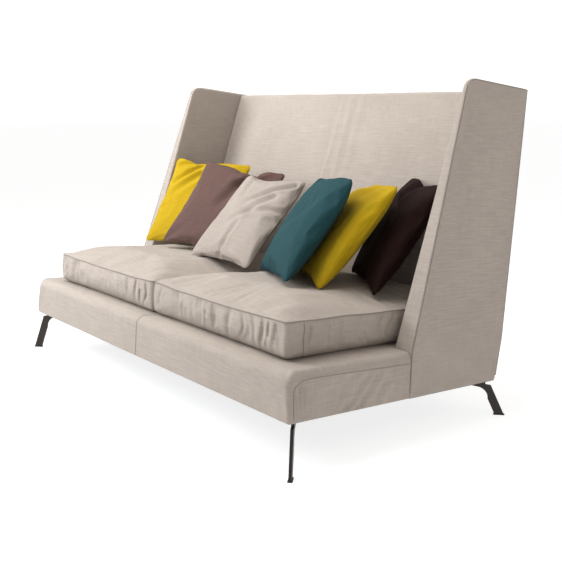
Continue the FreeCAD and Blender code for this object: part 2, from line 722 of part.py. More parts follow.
def build():
    """All pieces over the floor, with the footprint's middle at the origin."""
    pieces = {name: tipped(shape) for name, shape in body_pieces().items()}
    pieces.update(leg_pieces())
    everything = Part.makeCompound(list(pieces.values())).BoundBox
    shift = FreeCAD.Vector(-everything.Center.x, -everything.Center.y, -everything.ZMin)
    for shape in pieces.values():
        shape.translate(shift)
    return pieces


def main():
    os.makedirs("parts", exist_ok=True)
    for name, shape in build().items():
        shape.exportStep(os.path.join("parts", name + ".step"))
        print(name, len(shape.Solids), round(shape.Volume / 1000), shape.isValid())


main()
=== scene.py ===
import json
import math

import bmesh
import bpy
from mathutils import Matrix, Vector, noise


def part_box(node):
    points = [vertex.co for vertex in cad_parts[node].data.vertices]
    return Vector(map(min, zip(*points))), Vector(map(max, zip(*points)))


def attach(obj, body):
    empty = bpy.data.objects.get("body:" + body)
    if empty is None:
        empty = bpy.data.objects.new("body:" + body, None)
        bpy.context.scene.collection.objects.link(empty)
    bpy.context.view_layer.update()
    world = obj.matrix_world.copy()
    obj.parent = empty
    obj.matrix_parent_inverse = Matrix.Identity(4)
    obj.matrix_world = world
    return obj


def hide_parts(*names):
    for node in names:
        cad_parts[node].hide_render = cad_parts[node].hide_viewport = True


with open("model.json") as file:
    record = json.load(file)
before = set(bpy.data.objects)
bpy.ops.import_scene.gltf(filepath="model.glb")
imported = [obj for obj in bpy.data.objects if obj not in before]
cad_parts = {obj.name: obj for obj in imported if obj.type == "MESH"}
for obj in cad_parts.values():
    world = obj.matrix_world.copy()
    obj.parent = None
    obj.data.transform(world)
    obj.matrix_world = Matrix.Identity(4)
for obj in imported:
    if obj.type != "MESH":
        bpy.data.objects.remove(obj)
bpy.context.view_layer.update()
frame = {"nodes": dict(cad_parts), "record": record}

# The upholstered body is built level, in metres, and then tipped back onto its legs
TILT = math.radians(2.38)
LIFT = 0.1446
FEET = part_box("leg_glides")
FRONT_LEG_SETBACK = 0.012
Y_SHIFT = (FEET[0][1] + FEET[1][1] - FRONT_LEG_SETBACK) / 2
BODY = Matrix.Translation((0, Y_SHIFT, LIFT)) @ Matrix.Rotation(-TILT, 4, "X")

HALF_WIDTH = 0.925
FRONT = -0.464
REAR = 0.464
BASE_HEIGHT = 0.156
INNER_HALF = 0.845
WING_FRONT = 0.036
WING_HEIGHT = 1.044
WING_REAR_HEIGHT = 1.019
WING_RAKE = 0.2597
WING_LEAN_IN = 0.0638
WING_SETTLING = 0.0015
CREST_DEPTH = 0.043
CREST_DROP = 0.030
REAR_LEAN = 0.140
BACK_HEIGHT = 1.014
BACK_SLOPE = 0.30
SEAT_BACK = 0.3119
UNDERSIDE = 0.0005

# Gaps between the covers, and how far the deck runs on under the base's cover
BASE_GAP = 0.0006
DECK_GAP = 0.001
BACK_GAP = 0.0008
DECK_OVERLAP = 0.08

# Vertices closer than this become one, and grid lines crowd this much towards rounded edges
MERGE_DISTANCE = 2e-5
END_CROWDING = 0.6

# The rounding of the covers' edges
FOOT_ROUNDING = 0.003
BASE_FOOT_ROUNDING = 0.006
BASE_LOW_ROUNDING = 0.010
BASE_HIGH_ROUNDING = 0.036
BASE_REAR_ROUNDING = 0.003
BASE_ENDS_SHARE = 0.6
WING_ROUNDING = 0.006
BACK_ROUNDING = 0.007

# The radii of sewn lines and pipings
SEAM_RADIUS = 0.0014
PILLOW_SEAM_RADIUS = 0.0017
SEAT_WELT_RADIUS = 0.0021
PIPING_RADIUS = 0.0032

# The piping runs inside a wing's outer edges, from above its foot
PIPING_INSET = 0.002
PIPING_FOOT = 0.02
PIPING_STEPS = 60

# How deep the cloth's folds and unevenness run
BASE_PADDING = 0.0008
BASE_UNEVENNESS = 0.0012
BASE_PLEATS = 0.0022
BASE_SAG = 0.0030
BASE_PUCKERS = 0.0085
BASE_GATHERS = 0.0042
BASE_DEEPEST = 0.0025
WING_PADDING = 0.0012
WING_UNEVENNESS = 0.0010
WING_RIPPLES = 0.0008
BACK_PADDING = 0.0010
BACK_UNEVENNESS = 0.0018
BACK_RIPPLES = 0.0012
BACK_CREASE_X = -0.083
BACK_CREASE = 0.0050
BACK_FOLDS = 0.0022
SEAT_FOLDS = 0.0105
SEAT_CREASES = 0.0050
SEAT_UNEVENNESS = 0.0040
SEAT_PUCKERS = 0.0130
SEAM_LIFT = 0.0055
SEAM_WANDER = 0.0030

SEAT_LEVEL = 0.1563
SEAT_HALF_X = 0.4097
SEAT_HALF_Y = 0.3557
SEAT_MIDDLE_X = 0.4103
SEAT_MIDDLE_Y = -0.0443
SEAT_EDGE = 0.116
SEAT_THICKNESS = 0.164
SEAT_CORNER = 0.022
SEAT_REACH = 0.150
SEAT_REAR_SHARE = 0.15
SEAT_CELLS = (110, 94, 16)
SEAT_INSET = 0.003
SEAT_FOOT = 0.002
SEAT_DRAW_IN = 0.003
SEAT_PUFF = 0.004
SEAT_TUCK = 0.018
SEAT_UNBLOWN_CROWN = 0.86
SEAT_JOINT_SETBACK = 0.065
SEAT_PROUD = 0.006
SEAT_SLACK = 0.0002

PILLOW_HALF = 0.218
PILLOW_CELLS = 80
PILLOW_FACE_INSET = 0.36
PILLOW_CROWN_POWER = 1.15
PILLOW_EARS = 0.006
PILLOW_DRAW_IN = 0.008
PILLOW_CORNER = 0.034
PILLOW_UNBLOWN_SHARE = 0.30
PILLOW_WANDER = 0.003
PILLOW_MOST_SWELL = 1.3
PILLOW_PROUD_FRONT = 0.009
PILLOW_PROUD_REAR = 0.003
PILLOW_REAR_FOLDS = 0.35
NOTCH_REACH = 0.30
TUCK_REACH = 0.35

# How many frames the cloth runs for
SEAT_FRAMES = 16
PILLOW_FRAMES = 20

CAMERA_LENS = 56.8
CAMERA_PLACE = (2.866, -1.972 + Y_SHIFT, 1.075)
CAMERA_YAW = math.radians(52.64)
CAMERA_PITCH = math.radians(11.05)
FLOOR_REACH = 60.0

# Colours, in linear light
LINEN = (0.357, 0.309, 0.272)
# The seams' and pipings' colour is the linen darkened: painted shade, standing in for the shadow
# in their grooves
PAINTED_SEAM_SHADE = (0.245, 0.211, 0.186)
YELLOW = (0.390, 0.254, 0.004)
MAUVE = (0.103, 0.059, 0.051)
CREAM = (0.318, 0.272, 0.240)
TEAL = (0.013, 0.050, 0.058)
BROWN = (0.010, 0.002, 0.001)


def smooth_step(value):
    """0 to 1 with a soft start and end."""
    value = min(max(value, 0.0), 1.0)
    return value * value * (3 - 2 * value)


def mix(a, b, share):
    """The value a share of the way from a to b."""
    return a + (b - a) * share


def bell(distance, reach):
    """1 at no distance, fading to 0 past the reach."""
    return math.exp(-(distance / reach) ** 2)


def noise_at(x, y, z, seed=0.0):
    """Smooth noise from about -1 to 1."""
    return noise.noise(Vector((x + seed * 7.3, y - seed * 3.1, z + seed * 1.7)))


# Materials


def add_node(tree, kind, inputs=(), **settings):
    """A shader node with its settings made and its inputs set or joined."""
    node = tree.nodes.new("ShaderNode" + kind)
    for key, value in settings.items():
        setattr(node, key, value)
    for key, value in dict(inputs).items():
        if isinstance(value, bpy.types.NodeSocket):
            tree.links.new(value, node.inputs[key])
        else:
            node.inputs[key].default_value = value
    return node


class Nodes:
    """A new material, with short ways to add and join its nodes."""

    def __init__(self, name):
        self.material = bpy.data.materials.new(name)
        self.material.use_nodes = True
        self.tree = self.material.node_tree
        self.shader = self.tree.nodes["Principled BSDF"]

    def add(self, kind, inputs=(), **settings):
        return add_node(self.tree, kind, inputs, **settings)

    def join(self, socket, name):
        self.tree.links.new(socket, self.shader.inputs[name])

    def set(self, name, value):
        self.shader.inputs[name].default_value = value

    def maths(self, operation, a, b=0.0):
        return self.add("Math", {0: a, 1: b}, operation=operation).outputs[0]

    def noise(self, vector, scale, detail=3.0, roughness=0.55):
        settings = {"Vector": vector, "Scale": scale, "Detail": detail, "Roughness": roughness}
        return self.add("TexNoise", settings).outputs["Fac"]

    def stretched(self, vector, scale):
        return self.add("Mapping", {"Vector": vector, "Scale": scale}).outputs[0]

    def ramp(self, value, stops):
        node = self.add("ValToRGB", {0: value})
        elements = node.color_ramp.elements
        for n, (place, colour) in enumerate(stops):
            element = elements[n] if n < 2 else elements.new(place)
            element.position = place
            element.color = (*colour, 1.0)
        return node.outputs[0]


def shade(colour, factor):
    """A lighter or darker colour."""
    return tuple(min(c * factor, 1.0) for c in colour)


def cloth_material(name, colour, pitch=0.0017, slub=0.10, bump=0.5, sheen=0.02):
    """Woven cloth: crossing threads, thicker slub threads and a faint mottle."""
    n = Nodes(name)
    place = n.add("UVMap", uv_map="cloth").outputs[0]
    axes = n.add("SeparateXYZ", {0: place})
    turn = 2 * math.pi / pitch
    warp = n.maths("SINE", n.maths("MULTIPLY", axes.outputs[0], turn))
    weft = n.maths("SINE", n.maths("MULTIPLY", axes.outputs[1], turn))
    weave = n.maths("MULTIPLY", warp, weft)
    along = n.noise(n.stretched(place, (14, 230, 1)), 1.0, 3.0)
    across = n.noise(n.stretched(place, (230, 14, 1)), 1.0, 2.0)
    slubs = n.maths("ADD", n.maths("MULTIPLY", along, 0.65), n.maths("MULTIPLY", across, 0.35))
    mottle = n.noise(n.stretched(place, (5, 5, 1)), 1.0, 4.0)
    tone = n.maths("ADD", n.maths("MULTIPLY", slubs, 0.75), n.maths("MULTIPLY", mottle, 0.25))
    tone = n.maths("ADD", tone, n.maths("MULTIPLY", weave, 0.04))
    stops = [(0.38, shade(colour, 1 - slub * 1.3)), (0.62, shade(colour, 1 + slub))]
    n.join(n.ramp(tone, stops), "Base Color")
    height = n.maths("ADD", n.maths("MULTIPLY", weave, 0.35), slubs)
    relief = n.add("Bump", {"Strength": bump, "Distance": 0.0008, "Height": height})
    n.join(relief.outputs[0], "Normal")
    n.set("Roughness", 0.88)
    n.set("Specular IOR Level", 0.15)
    n.set("Sheen Weight", sheen)
    n.set("Sheen Roughness", 0.5)
    return n.material


def object_place(n):
    """The place on a piece in its own metres."""
    return n.add("TexCoord").outputs["Object"]


def metal_material(name, colour, roughness, metallic):
    """Powder-coated or plated metal with a fine grain and slight cloudiness."""
    n = Nodes(name)
    place = object_place(n)
    grain = n.noise(place, 900.0, 2.0)
    cloud = n.noise(place, 30.0, 4.0)
    tone = n.maths("ADD", n.maths("MULTIPLY", grain, 0.4), n.maths("MULTIPLY", cloud, 0.6))
    n.join(n.ramp(tone, [(0.3, shade(colour, 0.75)), (0.7, shade(colour, 1.3))]), "Base Color")
    spread = {"Value": cloud, "To Min": roughness * 0.8, "To Max": roughness * 1.2}
    n.join(n.add("MapRange", spread).outputs[0], "Roughness")
    relief = n.add("Bump", {"Strength": 0.25, "Distance": 0.0002, "Height": grain})
    n.join(relief.outputs[0], "Normal")
    n.set("Metallic", metallic)
    return n.material


def grained_material(name, dark, light, stretch, scale, roughness, bump):
    """Timber, foam or lining: noise stretched along the grain."""
    n = Nodes(name)
    place = n.stretched(object_place(n), stretch)
    grain = n.noise(place, scale, 6.0, 0.65)
    n.join(n.ramp(grain, [(0.35, dark), (0.65, light)]), "Base Color")
    relief = n.add("Bump", {"Strength": bump, "Distance": 0.001, "Height": grain})
    n.join(relief.outputs[0], "Normal")
    n.set("Roughness", roughness)
    return n.material


MATERIALS = {
    "body_fabric": cloth_material("linen_cloth", LINEN, slub=0.09),
    # welt_fabric is painted shade: a darker linen on the seams and pipings that stands in for the
    # shadow along their grooves
    "welt_fabric": cloth_material("welt_cloth", PAINTED_SEAM_SHADE, pitch=0.0012),
    "yellow_fabric": cloth_material("yellow_cloth", YELLOW, pitch=0.0011, slub=0.07),
    "mauve_fabric": cloth_material("mauve_cloth", MAUVE, pitch=0.0011, slub=0.10),
    "cream_fabric": cloth_material("cream_cloth", CREAM, pitch=0.0013, slub=0.08),
    "teal_fabric": cloth_material("teal_cloth", TEAL, pitch=0.0011, slub=0.10, sheen=0.0),
    "brown_fabric": cloth_material("brown_cloth", BROWN, pitch=0.0011, slub=0.15, sheen=0.0),
    "leg_metal": metal_material("leg_coating", (0.030, 0.024, 0.022), 0.42, 0.6),
    "glide_plastic": metal_material("glide_moulding", (0.02, 0.02, 0.02), 0.6, 0.0),
    "fastener_steel": metal_material("zinc_plate", (0.55, 0.55, 0.53), 0.35, 1.0),
    "webbing": grained_material("webbing_cloth", (0.04, 0.03, 0.02), (0.10, 0.08, 0.06),
                                (400, 60, 400), 1.0, 0.9, 0.4),
    "foam": grained_material("foam_cells", (0.66, 0.60, 0.42), (0.80, 0.75, 0.58),
                             (1, 1, 1), 500.0, 0.95, 0.6),
    "underlining_fabric": grained_material("lining_cloth", (0.012, 0.012, 0.012),
                                           (0.03, 0.03, 0.03), (1, 1, 1), 700.0, 0.95, 0.3),
    "timber": grained_material("planed_timber", (0.36, 0.22, 0.11), (0.58, 0.41, 0.24),
                               (3, 60, 60), 1.0, 0.6, 0.15),
}

for part in frame["record"]["subparts"]:
    node = frame["nodes"][part["node"]]
    node.data.materials.clear()
    node.data.materials.append(MATERIALS[part["material_slot"]])


# Mesh building


def cloth_layer(bm):
    """The layer that holds how the cloth lies on a mesh, in metres."""
    layers = bm.loops.layers.uv
    return layers.get("cloth") or layers.new("cloth")


def add_patch(bm, rows, columns, point, size):
    """A grid of faces over point(a, b), a and b from 0 to 1, with cloth laid flat at its size."""
    layer = cloth_layer(bm)
    grid = []
    for i in range(rows + 1):
        grid.append([bm.verts.new(point(i / rows, j / columns)) for j in range(columns + 1)])
    for i in range(rows):
        for j in range(columns):
            corners = ((i, j), (i + 1, j), (i + 1, j + 1), (i, j + 1))
            face = bm.faces.new([grid[a][b] for a, b in corners])
            face.smooth = True
            for loop, (a, b) in zip(face.loops, corners):
                loop[layer].uv = (a / rows * size[0], b / columns * size[1])


def finish_mesh(bm, name, slot, body, matrix=None):
    """Turn the built faces into a piece of the sofa that rides on a body."""
    bmesh.ops.remove_doubles(bm, verts=bm.verts, dist=MERGE_DISTANCE)
    bmesh.ops.dissolve_degenerate(bm, edges=bm.edges, dist=1e-6)
    bmesh.ops.recalc_face_normals(bm, faces=bm.faces)
    if bm.calc_volume(signed=True) < 0:
        bmesh.ops.reverse_faces(bm, faces=bm.faces)
    if matrix is not None:
        bm.transform(matrix)
    mesh = bpy.data.meshes.new(name)
    bm.to_mesh(mesh)
    bm.free()
    mesh.materials.append(MATERIALS[slot])
    piece = bpy.data.objects.new(name, mesh)
    bpy.context.scene.collection.objects.link(piece)
    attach(piece, body)
    return piece


def tube(name, points, radius, slot, body, closed=False, sides=8, matrix=None):
    """A round welt that follows points."""
    bm = bmesh.new()
    layer = cloth_layer(bm)
    count = len(points)
    rings = []
    for n, point in enumerate(points):
        before = points[n - 1] if closed or n > 0 else point
        after = points[(n + 1) % count] if closed or n < count - 1 else point
        along = (after - before).normalized()
        if n == 0:
            side = along.orthogonal()
        else:
            side = side - along * side.dot(along)
        side.normalize()
        up = along.cross(side)
        ring = []
        for k in range(sides):
            turn = 2 * math.pi * k / sides
            spoke = side * math.cos(turn) + up * math.sin(turn)
            ring.append(bm.verts.new(point + spoke * radius))
        rings.append(ring)
    length = 0.0
    for n in range(count if closed else count - 1):
        first, second = rings[n], rings[(n + 1) % count]
        step = (points[(n + 1) % count] - points[n]).length
        for k in range(sides):
            quad = (first[k], second[k], second[(k + 1) % sides], first[(k + 1) % sides])
            face = bm.faces.new(quad)
            face.smooth = True
            flat = ((0, k), (step, k), (step, k + 1), (0, k + 1))
            for loop, (a, b) in zip(face.loops, flat):
                loop[layer].uv = (length + a, b * 2 * math.pi * radius / sides)
        length += step
    if not closed:
        for ring in (rings[0], rings[-1]):
            bm.faces.new(ring)
    return finish_mesh(bm, name, slot, body, matrix)


def even_ends(a):
    """Move grid lines closer to both ends, where the edges are rounded."""
    return a - END_CROWDING * math.sin(2 * math.pi * a) / (2 * math.pi)


def padded_block(name, section, top, radius, foot, cells, surface=None, rear=None, ends=1.0):
    """A closed, softly rounded block of the body. section(z) gives its low and high X and Y at
    a height, top(v) the height of its top from front to rear, radius(z) its edges' rounding, foot
    and rear the rounding at its underside and at its rear edges, ends the share of the rounding
    that its left and right ends have, and surface(place, outward) the padding's rise."""
    bm = bmesh.new()

    def place(u, v, w):
        u, v, w = even_ends(u), even_ends(v), even_ends(w)
        height = top(v)
        z = mix(UNDERSIDE, height, w)
        x0, x1, y0, y1 = section(z)
        side = min(radius(z), (x1 - x0) * 0.45, (y1 - y0) * 0.45)
        behind = side if rear is None else rear
        end = side * ends
        x = mix(x0, x1, u)
        y = mix(y0, y1, v)
        core = Vector((
            min(max(x, x0 + end), x1 - end),
            min(max(y, y0 + side), y1 - behind),
            min(max(z, UNDERSIDE + foot), height - side),
        ))
        radii = Vector((end, behind if y > core.y else side, foot if z < core.z else side))
        away = Vector((x, y, z)) - core
        outward = Vector(a / r for a, r in zip(away, radii))
        if outward.length > 1e-9:
            outward.normalize()
        spot = core + outward * radii
        if surface is not None:
            spot = spot + outward * surface(spot, outward)
        return spot

    nx, ny, nz = cells
    x0, x1, y0, y1 = section(0.0)
    sx, sy, sz = x1 - x0, y1 - y0, top(0.5)
    for face in (0, 1):
        add_patch(bm, nx, nz, lambda a, b: place(a, face, b), (sx, sz))
    for face in (0, 1):
        add_patch(bm, ny, nz, lambda a, b: place(face, a, b), (sy, sz))
    for face in (0, 1):
        add_patch(bm, nx, ny, lambda a, b: place(a, b, face), (sx, sy))
    return finish_mesh(bm, name, "body_fabric", "frame", BODY)


def rear_y(z):
    return REAR + REAR_LEAN * z / WING_REAR_HEIGHT


def wing_front_y(z):
    return WING_FRONT + WING_RAKE * max(z - BASE_HEIGHT, 0.0) / (WING_HEIGHT - BASE_HEIGHT)


def wing_outer_x(z):
    return HALF_WIDTH - WING_LEAN_IN * max(z - BASE_HEIGHT, 0.0) / (WING_HEIGHT - BASE_HEIGHT)


def wing_top(v):
    """The height of a wing's top from front to rear, with its round crest in front."""
    depth = REAR + REAR_LEAN - WING_FRONT - WING_RAKE
    ahead = max(1 - v * depth / CREST_DEPTH, 0.0)
    drop = CREST_DROP * (1 - math.sqrt(1 - ahead * ahead))
    return mix(WING_HEIGHT - WING_SETTLING, WING_REAR_HEIGHT, v) - drop


def back_front_y(z):
    return SEAT_BACK + BACK_SLOPE * max(z - BASE_HEIGHT, 0.0)


# Base


def base_surface(spot, outward):
    """Soft unevenness over the base, with pleated corners and puckers on its ends."""
    if outward.z < -0.2 or outward.y > 0.3:
        return 0.0
    rise = BASE_PADDING + BASE_UNEVENNESS * noise_at(spot.x * 5, spot.y * 5, spot.z * 6, 1.0)
    corner = math.exp(-((abs(spot.x) - HALF_WIDTH) ** 2 + (spot.y - FRONT) ** 2) / 0.05 ** 2)
    pleats = BASE_PLEATS * corner * math.sin(spot.z * 50 + (abs(spot.x) + spot.y) * 80)
    end = smooth_step((abs(outward.x) - 0.6) / 0.3) * smooth_step((0.124 - spot.z) / 0.02)
    middle = bell(spot.y + 0.155, 0.12)
    uneven = noise_at(spot.y * 14, spot.z * 9, 0.0, 3.0)
    puckers = math.sin((spot.y - 0.7 * spot.z) * 110 + 5 * uneven) * (0.5 + uneven)
    near_corner = bell(spot.y - FRONT - 0.045, 0.035)
    gathers = near_corner * math.sin(spot.y * 330 + 4 * uneven)
    gathers *= smooth_step((spot.z - 0.02) / 0.06)
    sag = BASE_SAG * corner * smooth_step((0.06 - spot.z) / 0.05)
    rise += pleats + sag + end * (BASE_PUCKERS * middle * puckers + BASE_GATHERS * gathers)
    return max(rise, -BASE_DEEPEST)


def base():
    """The upholstered base in front of the wings, and its deck between them."""
    front = padded_block(
        "base_upholstery",
        lambda z: (-HALF_WIDTH, HALF_WIDTH, FRONT, WING_FRONT - BASE_GAP),
        lambda v: BASE_HEIGHT,
        lambda z: mix(BASE_LOW_ROUNDING, BASE_HIGH_ROUNDING, smooth_step(z / BASE_HEIGHT)),
        BASE_FOOT_ROUNDING, (150, 90, 36), base_surface, BASE_REAR_ROUNDING, BASE_ENDS_SHARE,
    )
    deck_half = INNER_HALF - DECK_GAP
    deck = padded_block(
        "base_deck",
        lambda z: (-deck_half, deck_half, WING_FRONT - DECK_OVERLAP, SEAT_BACK - DECK_GAP),
        lambda v: BASE_HEIGHT,
        lambda z: FOOT_ROUNDING,
        FOOT_ROUNDING, (40, 12, 6),
    )
    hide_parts("base_cover")
    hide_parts("base_cover")
    seam(front, "base_seam_middle", 1, [
        (0.030, FRONT + 0.075, 0.156),
        (0.012, FRONT + 0.036, 0.156),
        (0.004, FRONT + 0.010, 0.146),
        (0.0, FRONT, 0.118),
        (-0.004, FRONT, 0.010),
    ])
    for name, side in (("left", -1), ("right", 1)):
        seam(front, "base_seam_" + name, side, [
            (HALF_WIDTH, FRONT + 0.014, 0.006),
            (HALF_WIDTH, FRONT + 0.017, 0.085),
            (HALF_WIDTH - 0.002, FRONT + 0.025, 0.113),
            (HALF_WIDTH - 0.001, FRONT + 0.046, 0.127),
            (HALF_WIDTH, FRONT + 0.100, 0.131),
            (HALF_WIDTH, FRONT + 0.250, 0.127),
            (HALF_WIDTH, WING_FRONT - 0.004, 0.120),
        ])


def seam(piece, name, side, corners):
    """A sewn line laid on a piece of the body, on its left or right side."""
    points = []
    for place in flowing(corners, 60):
        at = BODY @ Vector((side * place.x, place.y, place.z))
        points.append(piece.closest_point_on_mesh(at)[1])
    # The seam is drawn in the darker seam cloth: painted shade along its groove
    tube(name, points, SEAM_RADIUS, "welt_fabric", "frame", sides=6)


def flowing(corners, count):
    """A smooth run of places through the given ones."""
    places = [Vector(c) for c in corners]
    places = [2 * places[0] - places[1]] + places + [2 * places[-1] - places[-2]]
    spans = len(places) - 3
    run = []
    for n in range(count + 1):
        at = n / count * spans
        k = min(int(at), spans - 1)
        t = at - k
        a, b, c, d = places[k:k + 4]
        run.append(0.5 * (2 * b + (c - a) * t + (2 * a - 5 * b + 4 * c - d) * t * t
                          + (3 * b - a - 3 * c + d) * t ** 3))
    return run


# Wings and backrest


def piping_run(side):
    """Where the piping goes: up a wing's front edge, along its top and down its rear edge."""
    points = []

    def pass_by(y, z):
        points.append(Vector((side * (wing_outer_x(z) - PIPING_INSET), y, z)))

    for n in range(PIPING_STEPS + 1):
        z = mix(PIPING_FOOT, wing_top(0.0) - 2 * PIPING_INSET, n / PIPING_STEPS)
        pass_by(wing_front_y(z) + PIPING_INSET, z)
    for n in range(1, PIPING_STEPS + 1):
        v = (n / PIPING_STEPS) ** 1.6
        z = wing_top(v) - PIPING_INSET
        pass_by(mix(wing_front_y(z) + PIPING_INSET, rear_y(z) - PIPING_INSET, v), z)
    for n in range(1, PIPING_STEPS + 1):
        z = mix(WING_REAR_HEIGHT - 2 * PIPING_INSET, PIPING_FOOT, n / PIPING_STEPS)
        pass_by(rear_y(z) - PIPING_INSET, z)
    return points


def wing(side):
    """A tall tapering wing, padded, with a round piping along its outer edges."""
    def section(z):
        inner, outer = INNER_HALF, wing_outer_x(z)
        xs = (inner, outer) if side > 0 else (-outer, -inner)
        return (*xs, wing_front_y(z), rear_y(z))

    def surface(spot, outward):
        if outward.z < -0.2 or outward.y > 0.5:
            return 0.0
        soft = WING_UNEVENNESS * noise_at(spot.x * 3, spot.y * 4, spot.z * 4, 4.0 + side)
        ripple = WING_RIPPLES * noise_at(spot.x, spot.y * 14, spot.z * 3, 6.0 + side)
        inner = smooth_step(-side * outward.x)
        return mix(WING_PADDING + soft + ripple, 0.2 * soft, inner)

    name = "right" if side > 0 else "left"
    piece = padded_block(
        "wing_upholstery_" + name,
        section,
        wing_top,
        lambda z: WING_ROUNDING,
        FOOT_ROUNDING, (12, 60, 110), surface,
    )
    # The piping is drawn in the darker seam cloth: painted shade along the wing's edges
    welt = tube("wing_piping_" + name, piping_run(side), PIPING_RADIUS, "welt_fabric", "frame",
                matrix=BODY)
    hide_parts("wing_cover_" + name)
    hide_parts("wing_welt_" + name)


def back():
    """The tall back panel, with a crease and faint folds down it."""
    half = INNER_HALF - BACK_GAP

    def surface(spot, outward):
        if outward.z < -0.2 or abs(outward.x) > 0.5 or outward.y > 0.5:
            return 0.0
        uneven = noise_at(spot.x * 2.5, spot.y * 2, spot.z * 2.5, 9.0)
        soft = BACK_PADDING + BACK_UNEVENNESS * uneven
        soft += BACK_RIPPLES * noise_at(spot.x * 11, spot.y, spot.z * 2.2, 10.0)
        face = smooth_step((-outward.y - 0.8) / 0.2)
        high = smooth_step((spot.z - 0.62) / 0.2)
        crease = BACK_CREASE * high * bell(spot.x - BACK_CREASE_X, 0.012)
        folds = BACK_FOLDS * bell(spot.x, 0.10) * math.sin(spot.x * 90 + spot.z * 2)
        return max(soft + face * (folds - crease), -BACK_FOLDS * face)

    piece = padded_block(
        "back_upholstery",
        lambda z: (-half, half, back_front_y(z), rear_y(z)),
        lambda v: BACK_HEIGHT,
        lambda z: BACK_ROUNDING,
        FOOT_ROUNDING, (300, 12, 90), surface,
    )
    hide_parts("back_cover")


# Soft cushions, blown up as cloth


def add_cloth(piece, pins, pressure, growth, stiffness, bending):
    """Set a piece up as air-filled cloth, held at its pinned points."""
    piece.vertex_groups.new(name="pins").add(pins, 1.0, "REPLACE")
    modifier = piece.modifiers.new("Cloth", "CLOTH")
    settings = modifier.settings
    settings.quality = 5
    settings.mass = 0.3
    settings.tension_stiffness = stiffness
    settings.compression_stiffness = stiffness
    settings.shear_stiffness = stiffness * 0.3
    settings.bending_stiffness = bending
    settings.air_damping = 2.0
    settings.use_pressure = True
    settings.uniform_pressure_force = pressure
    settings.shrink_min = -growth
    settings.effector_weights.gravity = 0.0
    if pins:
        settings.vertex_group_mass = "pins"
    modifier.collision_settings.use_collision = False


def grow_more(piece, among, growth):
    """Let some of a piece's cloth grow more than the rest, so that it puckers."""
    piece.vertex_groups.new(name="puckers").add(among, 1.0, "REPLACE")
    settings = piece.modifiers["Cloth"].settings
    settings.vertex_group_shrink = "puckers"
    settings.shrink_max = -growth


def blow_up(pieces, frames):
    """Run the cloth on all pieces side by side and keep the shapes they reach."""
    scene = bpy.context.scene
    scene.frame_start = 1
    scene.frame_end = max(frames)
    shapes = {}
    for step in range(1, max(frames) + 1):
        scene.frame_set(step)
        depsgraph = bpy.context.evaluated_depsgraph_get()
        for piece, last in zip(pieces, frames):
            if step == last:
                mesh = piece.evaluated_get(depsgraph).data
                shapes[piece.name] = [v.co.copy() for v in mesh.vertices]
    for piece in pieces:
        piece.modifiers.clear()
        for vertex, place in zip(piece.data.vertices, shapes[piece.name]):
            vertex.co = place
    scene.frame_set(1)


def keep_modified(piece):
    """Keep the shape that a piece's modifiers give it as its mesh."""
    depsgraph = bpy.context.evaluated_depsgraph_get()
    mesh = bpy.data.meshes.new_from_object(piece.evaluated_get(depsgraph))
    piece.modifiers.clear()
    old = piece.data
    name = old.name
    piece.data = mesh
    bpy.data.meshes.remove(old)
    mesh.name = name


def refine(piece):
    """One subdivision, applied."""
    piece.modifiers.new("Smooth", "SUBSURF").levels = 1
    keep_modified(piece)


def rounded_corner(x, y, half_x, half_y, corner):
    """A place on a rectangle, moved so that the rectangle's corners are round."""
    a = (abs(x) - (half_x - corner)) / corner
    b = (abs(y) - (half_y - corner)) / corner
    if a <= 0 or b <= 0:
        return x, y
    a, b = min(a, 1.0), min(b, 1.0)
    round_x = half_x - corner + corner * a * math.sqrt(1 - b * b / 2)
    round_y = half_y - corner + corner * b * math.sqrt(1 - a * a / 2)
    return math.copysign(round_x, x), math.copysign(round_y, y)


def crown(inset):
    """The seat cushion's rise over its seam at a distance in from it."""
    share = min(max(inset, 0.0) / SEAT_REACH, 1.0)
    return (SEAT_THICKNESS - SEAT_EDGE) * math.sin(share * math.pi / 2)


def seat_top(x, y):
    """The height of the seat cushion's room at a place from its middle."""
    inset = min(SEAT_HALF_X - abs(x), y + SEAT_HALF_Y, (SEAT_HALF_Y - y) / SEAT_REAR_SHARE)
    return SEAT_EDGE + crown(inset)


def seam_rise(x, y, seed):
    """How far the top seam wanders up and down along a seat cushion's edge, high at its ends."""
    ends = smooth_step((abs(x) - 0.22) / 0.16) * smooth_step((0.05 - y) / 0.20)
    return SEAM_LIFT * ends + SEAM_WANDER * noise_at(x * 7, y * 7, 0.0, seed)


def rounded(place):
    """A place to a tenth of a millimetre, by which its vertex is found."""
    return tuple(round(c * 1e4) for c in place)


def built_places(piece):
    """Every vertex by its rounded place."""
    return {rounded(v.co): v.index for v in piece.data.vertices}


